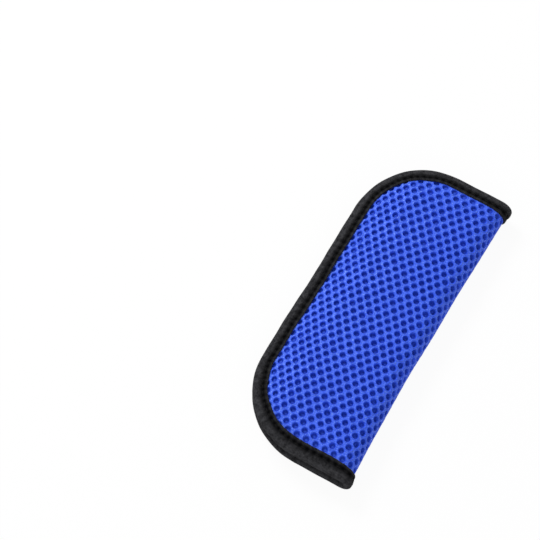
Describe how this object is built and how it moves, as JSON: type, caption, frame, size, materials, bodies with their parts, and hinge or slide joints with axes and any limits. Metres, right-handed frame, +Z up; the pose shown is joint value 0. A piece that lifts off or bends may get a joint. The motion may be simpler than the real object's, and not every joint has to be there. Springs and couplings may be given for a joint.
{
  "type": "seat belt shoulder pad",
  "caption": "Soft blue air-mesh sleeve bound in black tape, folded over a shoulder belt and closed along its open edge by hook and loop strips.",
  "frame": {"origin": "middle of the footprint, at the floor that the lower half lies on", "axes": "+X from the open edge to the fold, +Y along the belt, +Z up through both halves"},
  "size_m": [0.0666, 0.165, 0.02],
  "materials": {
    "air_mesh": "knitted spacer mesh with open holes, slight sheen",
    "tape": "woven ribbed tape, matte",
    "lining": "brushed knit, matte",
    "foam": "open-cell foam, matte",
    "closure": "hook and loop tape, matte"
  },
  "bodies": {
    "root": {"mesh_cover": "air_mesh", "foam_filling": "foam", "inner_lining": "lining", "edge_binding": "tape", "loop_strip": "closure", "hook_strip": "closure"}
  },
  "joints": []
}
